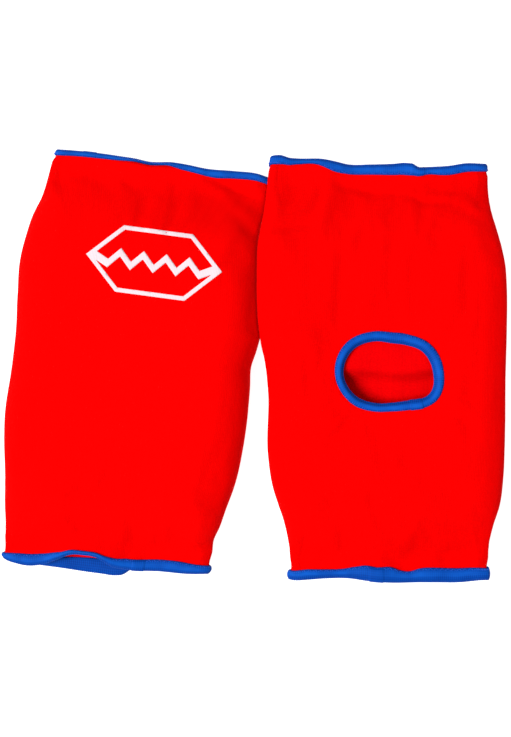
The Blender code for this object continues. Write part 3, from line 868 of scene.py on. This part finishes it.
def make_sleeve(pad):
    """One knitted tube with the elbow opening cut in it."""
    columns, top = girth_columns(1.0)
    rows = np.linspace(GRIP - HALF_LENGTH, HALF_LENGTH - GRIP, 131)
    points = tube_points(pad, columns, top, rows)
    opening_on_top = not pad["foam_up"]
    away = past_opening(pad, points[..., 0], points[..., 1])
    away = np.where(top[None, :] == opening_on_top, away, 99)
    to_cuff = HALF_LENGTH - np.abs(rows)[:, None]
    near = np.minimum(np.maximum(away, 0) - 1, to_cuff)
    held = np.select([near < reach for reach in HELD_WITHIN], HELD_SHARES, 0.0)
    floor = np.minimum(points[..., 2], FLOOR - 0.4)
    points = settle(pad, points, held, columns)
    points[..., 2] = np.maximum(points[..., 2], floor)
    groove = SEAM_GROOVE * np.exp(-(((np.abs(columns) - 2) / 0.10) ** 2))
    points -= tube_normals(points) * groove[None, :, None]
    pad["cloth"] = points
    drop = away < 2.0
    around = np.arange(len(columns)) * FLAT_ROUND / len(columns)
    piece = grid_mesh(pad, "sleeve", points, around, rows, "knit", drop=drop)
    thicken(piece, KNIT)
    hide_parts(*nodes_of(pad, "front_panel", "back_panel"))
    bend(piece, pad)


def tape_profile(leaf_out, leaf_in, puff, lap):
    """(distance back from the edge, offset) round the tape's own section."""
    inner, outer = TAPE_CLEAR, TAPE_CLEAR + TAPE
    shortest, chamfer, thicker = 1.5, 0.3, 0.3 * lap
    leaf_out, leaf_in = max(leaf_out, shortest), max(leaf_in, shortest)
    bow = np.linspace(0, 1, 9)
    rise = puff * np.sin(np.pi * bow) ** 0.7 + 0.35 * lap
    out_d = leaf_out + (TURN - leaf_out) * bow
    in_d = leaf_in + (TURN - leaf_in) * bow
    edge = chamfer * (bow == 0)
    outside = list(zip(out_d, outer + rise - edge, strict=True))
    inside = list(zip(in_d, -outer - 0.5 * rise + edge, strict=True))[::-1]
    turn = [
        (
            TURN + TURN_STRETCH * (TURN_SINE - math.sin(a)) - thicker * math.sin(a),
            (outer + thicker) * math.cos(a),
        )
        for a in np.linspace(TURN_ANGLE, math.pi - TURN_ANGLE, 9)
    ]
    hidden = [(leaf_in, -inner), (1.9, -inner), (1.5, 0.0), (1.9, inner), (leaf_out, inner)]
    return outside + turn + inside + hidden


def surface_levels(surface_at):
    """Points and normals at even distances back from the edge, from 1 mm beyond it."""
    base = [surface_at(d * LEVEL_STEP - 1) for d in range(25)]
    return np.array([b[0] for b in base]), np.array([b[1] for b in base])


def sweep_tape(surface_at, widths, inner_widths, puff, lap):
    """Tape wrapped round an edge. surface_at(d) gives points and normals at a distance back."""
    rows = zip(widths, inner_widths, np.broadcast_to(puff, len(lap)), lap, strict=True)
    profiles = np.array([tape_profile(w, v, p, each) for w, v, p, each in rows])
    points_at, normals_at = surface_levels(surface_at)
    j = np.arange(len(widths))
    result = []
    for k in range(profiles.shape[1]):
        d, o = (profiles[:, k, 0] + 1) / LEVEL_STEP, profiles[:, k, 1]
        i = d.astype(int)
        t = (d - i)[:, None]
        p = mix(points_at[i, j], points_at[i + 1, j], t)
        q = unit(mix(normals_at[i, j], normals_at[i + 1, j], t))
        result.append(p + q * o[:, None])
    result = np.array(result)
    result[..., 2] = np.maximum(result[..., 2], TABLE_GAP)
    return result


def lap_share(value, low, high):
    """1 where the tape's two ends lap, 0 elsewhere."""
    return smooth((value - low) / LAP_EDGE) * smooth((high - value) / LAP_EDGE)


def make_cuff_tape(pad, half):
    """A cuff's tape, and its stitches as lines."""
    sign = 1 if half == "upper" else -1
    columns, top = girth_columns(7)
    near = np.array([-0.6, 0.0, 0.6])  # three rows, for the normals of the middle one

    def surface_at(d):
        points = tube_points(pad, columns, top, sign * (HALF_LENGTH - d) + near)
        return points[1], tube_normals(points)[1]

    x = surface_at(0)[0][:, 0]
    over = through(TAPE_WIDTHS[(pad["side"], half)], x)
    widths = np.where(top, over, mix(over, UNDER_WIDTH, smooth((2 - np.abs(columns)) / 0.9)))
    at, length = LAPS[(pad["side"], half)]
    lap = lap_share(x, at, at + length) * top
    inner_widths = np.where(top, INNER_WIDTH["cuff"], through(INNER_WIDTHS, x))
    puff = 0.75 - 0.6 * np.exp(-(((np.abs(columns) - 2) / 0.3) ** 2)) * (sign > 0)
    points = sweep_tape(surface_at, widths, inner_widths, puff, lap)
    piece = finish_tape(f"{pad['side']}_{half}_cuff_tape", points, pad)
    return piece, stitch_lines(surface_at, widths)


def stitch_lines(surface_at, widths):
    """Zigzag stitches along the tape's edge, as a list of threads."""
    points_at, normals_at = surface_levels(surface_at)
    steps = np.linalg.norm(np.roll(points_at[4], -1, 0) - points_at[4], axis=1)
    count = int(np.cumsum(steps)[-1] / STITCH)
    at = np.linspace(0, len(steps), count, endpoint=False)
    on_tape = TAPE_CLEAR + TAPE + 0.12
    sunk, raised, highest = on_tape - 0.35, on_tape + 0.25, on_tape + 0.25 + 0.1
    threads = []
    for n in range(count):
        ends = []
        for m in (n, n + 1):
            j = int(at[m % count]) % len(steps)
            back = max(widths[j] - (NEAR_EDGE if m % 2 else FAR_FROM_EDGE), 0.6)
            level = (back + 1) / LEVEL_STEP
            i = int(level)
            p = mix(points_at[i, j], points_at[i + 1, j], level - i)
            ends.append((p, normals_at[i, j]))
        (p, u), (q, v) = ends
        thread = [p + u * sunk]
        for share, height in ((0.2, raised), (0.5, highest), (0.8, raised)):
            thread.append(mix(p, q, share) + mix(u, v, share) * height)
        threads.append([*thread, q + v * sunk])
    return threads


def finish_tape(name, points, pad):
    """A tape's mesh, with ribs across it."""
    m, n = points.shape[:2]
    steps = np.linalg.norm(np.roll(points[6], -1, 0) - points[6], axis=1)
    length = np.concatenate([[0], np.cumsum(steps)])
    total = length[-1]
    ribs = round(total / RIB)
    wave = np.cos(math.tau * ribs * length[:-1] / total)
    slow = np.sin(math.tau * 9 * length[:-1] / total)
    slow = 0.5 + 0.5 * slow * np.sin(math.tau * 4 * length[:-1] / total + 1)
    out = unit(points - points.mean(0)[None])
    points = points + out * (RIB_HEIGHT * wave * (0.5 + 0.5 * slow))[None, :, None]
    profile = np.linalg.norm(np.diff(points, axis=0), axis=2).mean(1)
    across = np.concatenate([[0], np.cumsum(profile)])
    world = to_world(pad, points)
    faces, uvs = [], []
    for i in range(m):
        k = (i + 1) % m
        c, d = across[i] * MM, (across[i] + profile[min(i, m - 2)]) * MM
        for j in range(n):
            q = (j + 1) % n
            faces.append((i * n + j, i * n + q, k * n + q, k * n + j))
            a, b = length[j] / total * ribs, length[j + 1] / total * ribs
            uvs += [(a, c), (b, c), (b, d), (a, d)]
    piece = new_mesh(name, world.reshape(-1, 3), faces, uvs, MATERIALS["tape"])
    return outward(piece)


def outward(piece, close=False):
    """The piece with its normals pointing out, and its ends closed if asked."""
    mesh = bmesh.new()
    mesh.from_mesh(piece.data)
    if close:
        bmesh.ops.holes_fill(mesh, edges=[e for e in mesh.edges if e.is_boundary])
    bmesh.ops.recalc_face_normals(mesh, faces=mesh.faces[:])
    mesh.to_mesh(piece.data)
    mesh.free()
    piece.data.shade_smooth()
    return piece


def make_opening_tape(pad):
    """The elbow opening's tape, and its stitches as lines."""
    opening_on_top = not pad["foam_up"]
    face = 1 if opening_on_top else -1
    count = 620

    def surface_at(d):
        x, y = opening_curve(pad, d, count)
        z = layer_height(pad, opening_on_top, x, y)
        normals = np.zeros((count, 3))
        normals[:, 2] = face
        return np.stack([x, y, z], -1), normals

    side = pad["side"]
    angles = np.linspace(0, math.tau, count, endpoint=False)
    at, length = OPENING_LAP[side]
    lap = lap_share((angles - at) * 24, 0, length)
    widths = OPENING_TAPE[side] + 0.7 * np.cos(angles - math.radians(50))
    widths = widths + 0.15 * np.sin(5 * angles + 1) + 0.4 * lap
    puff = 0.9 if opening_on_top else 0.3
    inner_widths = np.full(count, INNER_WIDTH["opening"])
    points = sweep_tape(surface_at, widths, inner_widths, puff, lap)
    piece = finish_tape(f"{side}_opening_tape", points, pad)
    return piece, stitch_lines(surface_at, widths)


def foam_half(pad, side, y):
    """Half width of the foam, which has round corners."""
    reach = half_width(pad, side, y) - FOAM_MARGIN
    past = np.clip(np.abs(y) - (FOAM_END - FOAM_CORNER), 0, FOAM_CORNER)
    return reach - FOAM_CORNER + np.sqrt(FOAM_CORNER**2 - past**2)


def foam_heights(pad, x, y):
    """(underside, top) of the foam, which tapers at its rim and stays inside the sleeve."""
    rim = np.where(x < 0, foam_half(pad, -1, y), foam_half(pad, 1, y))
    inside = np.clip(np.minimum(rim - np.abs(x), FOAM_END - np.abs(y)), 0, None)
    thick = FOAM_RIM + FOAM_RISE * np.sin(np.clip(inside / FOAM_SLOPE, 0, 1) * math.pi / 2)
    if pad["foam_up"]:
        underside, thinnest = 12.4, 2.2
        roof = layer_height(pad, True, x, y) - KNIT / 2 - FOAM_CLEAR
        low = np.minimum(underside, roof - thinnest)
        return low, np.minimum(low + thick, roof)
    near = np.exp(-(((x - 4) / 50) ** 4) - ((y - 2) / 42) ** 4)
    dome = near * (-4.2 + 10.8 * smooth((y + 7 + 1.2 * np.sin(x / 8)) / 12))
    for_lining = 2.1
    roof = layer_height(pad, True, x, y) - KNIT / 2 - for_lining
    low = layer_height(pad, False, x, y) + KNIT / 2 + FOAM_CLEAR
    return low, np.minimum(low + thick + dome, roof)


def foam_grid(pad, y, c, margin=0.0):
    """(x, y, half width) over the foam, widened by a margin."""
    grid_y, grid_c = np.meshgrid(y, c, indexing="ij")
    at_foam = np.clip(grid_y, -FOAM_END, FOAM_END)
    reach = np.where(grid_c < 0, foam_half(pad, -1, at_foam), foam_half(pad, 1, at_foam)) + margin
    return grid_c * reach, grid_y, reach


def make_foam(pad):
    """The foam slab, as a closed form."""
    y = np.linspace(-FOAM_END, FOAM_END, 61)
    c = np.linspace(-1, 1, 41)
    x, grid_y, _ = foam_grid(pad, y, c)
    low, high = foam_heights(pad, x, grid_y)
    top = np.stack([x, grid_y, high], -1)
    under = np.stack([x, grid_y, low], -1)[:, ::-1]
    ring = np.concatenate([top, under], 1)
    piece = grid_mesh(pad, "foam", ring, np.arange(ring.shape[1]) * 3.0, y, "foam")
    outward(piece, close=True)
    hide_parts(*nodes_of(pad, "foam"))
    bend(piece, pad)


def make_lining(pad):
    """The knitted layer on the foam's inner face, with small ruffles."""
    y = np.linspace(-LINING_END, LINING_END, 105)
    c = np.linspace(-1, 1, 81)
    x, grid_y, reach = foam_grid(pad, y, c, margin=LINING_MARGIN)
    rim, in_end = 5, 99  # the outer part of the lining leaves the foam
    in_y = np.clip(grid_y, -in_end, in_end)
    in_x = x * (reach - rim) / reach
    low, high = foam_heights(pad, in_x, in_y)
    past = smooth((np.maximum(np.abs(x) - reach + rim, np.abs(grid_y) - in_end)) / rim)
    ruffle = 0.22 * np.sin(x / 7 + grid_y / 11) + 0.16 * np.sin(grid_y / 5 - x / 17)
    ruffle = ruffle + 0.1 * np.sin(x / 3.1)
    if pad["foam_up"]:
        z = low - 0.8 + 0.12 * ruffle
        roof = layer_height(pad, True, x, grid_y) - KNIT / 2 - 0.9
        z = np.minimum(mix(z, z + 1.6, past), roof)
    else:
        z = high + 0.75 + np.maximum(ruffle, -0.3)
        z = mix(z, low + 0.8, past)
    points = np.stack([x, grid_y, z], -1)
    piece = grid_mesh(pad, "lining", points, c * 62, y, "lining", closed=False)
    thicken(piece, LINING)
    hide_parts(*nodes_of(pad, "lining"))
    bend(piece, pad)


def make_seam(pad, side):
    """The overlocked allowance inside a side fold."""
    y = np.linspace(-SEAM_END, SEAM_END, 122)
    edge = half_width(pad, side, y) - tuck(pad, side, y) - 2.2
    fold = fold_height(pad, side, y) + edge_lift(pad, side * edge, y)
    wave = 0.25 * np.sin(y * 2.1)
    ring = [
        (edge, fold + 0.5),
        (edge - 2.5, fold + 0.9),
        (edge - 4.6 + wave, fold + 0.6),
        (edge - 4.9 + wave, fold),
        (edge - 4.6 + wave, fold - 0.6),
        (edge - 2.5, fold - 0.9),
        (edge, fold - 0.5),
    ]
    slant = cuff_slant(pad, True, side * edge, y)
    points = np.stack([np.stack([side * x, y + slant, z], -1) for x, z in ring], 1)
    which = "left" if side < 0 else "right"
    around = np.arange(len(ring)) * 1.5
    piece = grid_mesh(pad, f"{which}_seam", points, around, y, "red_thread")
    outward(piece, close=True)
    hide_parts(*nodes_of(pad, f"{which}_seam"))
    bend(piece, pad)


def emblem_outlines():
    """The hexagon's outline, and the two holes above and below the zigzag band."""
    w, h, line, teeth = 42.0, 20.6, 2.6, 5
    shoulder = w - h
    hexagon = [(w, 0), (shoulder, h), (-shoulder, h), (-w, 0), (-shoulder, -h), (shoulder, -h)]
    inside_w, inside_h, inside_flat = w - 1.4 * line, h - line, shoulder - 0.4 * line
    reach = inside_w - 1.2 * line
    zigzag = [(mix(reach, -reach, i / (2 * teeth)), 3.8 * (-1) ** i) for i in range(1, 2 * teeth)]
    above = [(inside_w - line, line), (inside_flat, inside_h)]
    above += [(-x, y) for x, y in reversed(above)]
    above += [(x, y + line) for x, y in reversed(zigzag)]
    below = [(x, -y) for x, y in above[:4]]
    below += [(x, y - line) for x, y in reversed(zigzag)]
    return [hexagon, above, below]


def make_emblem(pad):
    """The print, cut into small faces and laid on the settled cloth."""
    curve = bpy.data.curves.new("emblem", "CURVE")
    curve.dimensions = "2D"
    curve.fill_mode = "FRONT"
    for outline in emblem_outlines():
        spline = curve.splines.new("POLY")
        spline.points.add(len(outline) - 1)
        spline.use_cyclic_u = True
        for point, (x, y) in zip(spline.points, outline, strict=True):
            point.co = (x, y, 0, 1)
    mesh = bmesh.new()
    mesh.from_mesh(curve_mesh(curve))
    bmesh.ops.remove_doubles(mesh, verts=mesh.verts, dist=1e-4)
    for _ in range(6):
        longest = [e for e in mesh.edges if e.calc_length() > PRINT_EDGE]
        bmesh.ops.subdivide_edges(mesh, edges=longest, cuts=1)
        bmesh.ops.triangulate(mesh, faces=mesh.faces[:])
    local = np.array([v.co for v in mesh.verts])
    faces = [[v.index for v in f.verts] for f in mesh.faces]
    mesh.free()
    sign = 1 if pad["foam_up"] else -1
    x = sign * local[:, 0] + sign * EMBLEM_CENTRE[0]
    y = local[:, 1] + EMBLEM_CENTRE[1]
    tree = cloth_tree(pad)
    down = Vector((0, 0, -sign))
    hits = [tree.ray_cast(Vector((a, b, sign * 60.0)), down)[0] for a, b in zip(x, y, strict=True)]
    on_knit = 0.11  # from the knit's face to the print's middle
    z = np.array([hit.z for hit in hits]) + sign * (KNIT / 2 + on_knit)
    points = to_world(pad, np.stack([x, y, z], -1))
    corners = np.array([(x[v] * MM, y[v] * MM) for face in faces for v in face])
    piece = new_mesh(f"{pad['side']}_print", points, faces, corners, MATERIALS["ink"])
    thicken(piece, PRINT)
    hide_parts(f"{pad['side']}_emblem")
    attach(piece, pad["upper"])


def make_stitches(name, threads, pad):
    """Threads along lines in the pad's frame, as one piece."""
    threads = np.array(threads)
    threads[..., 2] = np.maximum(threads[..., 2], THREAD_LOW)
    curve = bpy.data.curves.new(name, "CURVE")
    curve.dimensions = "3D"
    curve.bevel_depth = THREAD_RADIUS * MM
    curve.bevel_resolution = 1
    curve.use_fill_caps = True
    for line in to_world(pad, threads):
        spline = curve.splines.new("POLY")
        spline.points.add(len(line) - 1)
        spline.points.foreach_set("co", np.column_stack([line, np.ones(len(line))]).ravel())
    mesh = curve_mesh(curve)
    mesh.name = name
    mesh.materials.clear()
    mesh.materials.append(MATERIALS["thread"])
    mesh.shade_smooth()
    piece = linked(name, mesh)
    return piece


def make_pad(pad):
    make_sleeve(pad)
    make_foam(pad)
    make_lining(pad)
    side = pad["side"]
    for which in (-1, 1):
        make_seam(pad, which)
    for half in ("upper", "lower"):
        tape, threads = make_cuff_tape(pad, half)
        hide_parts(f"{side}_{half}_cuff_binding")
        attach(tape, pad[half])
        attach(make_stitches(f"{side}_{half}_cuff_stitches", threads, pad), pad[half])
    tape, threads = make_opening_tape(pad)
    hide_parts(*nodes_of(pad, "opening_binding"))
    bend(tape, pad)
    bend(make_stitches(f"{side}_opening_stitches", threads, pad), pad)
    make_emblem(pad)


for each in PADS.values():
    make_pad(each)


# Stage, light and camera

scene = bpy.context.scene
scene.view_settings.view_transform = "Standard"

floor_nodes = Nodes("pale_floor", (0.45, 0.45, 0.45), 0.9)
floor_nodes.set(Specular_IOR_Level=0.0, Emission_Color=(1, 1, 1, 1), Emission_Strength=0.92)
bpy.ops.mesh.primitive_plane_add(size=8, location=(0, 0, -0.0002))
floor = bpy.context.object
floor.name = "floor"
floor.data.materials.append(floor_nodes.material)

world = bpy.data.worlds.new("soft_white")
world.use_nodes = True
background = world.node_tree.nodes["Background"].inputs
background["Color"].default_value = (1, 1, 1, 1)
background["Strength"].default_value = 0.5
scene.world = world

light = bpy.data.lights.new("key", "AREA")
light.shape = "DISK"
light.size = 3.5
light.energy = 680
lamp = linked("key", light)
lamp.location = (-4.1, -0.8, 5.8)
lamp.rotation_euler = (-lamp.location).to_track_quat("-Z", "Y").to_euler()

camera = bpy.data.cameras.new("camera")
camera.lens = 100
camera.sensor_width = 36
camera_object = linked("camera", camera)
view_height, focus_height = 0.457, 0.010
distance = view_height * camera.lens / camera.sensor_width
camera_object.location = (0.0, -0.0015, focus_height + distance)
scene.camera = camera_object
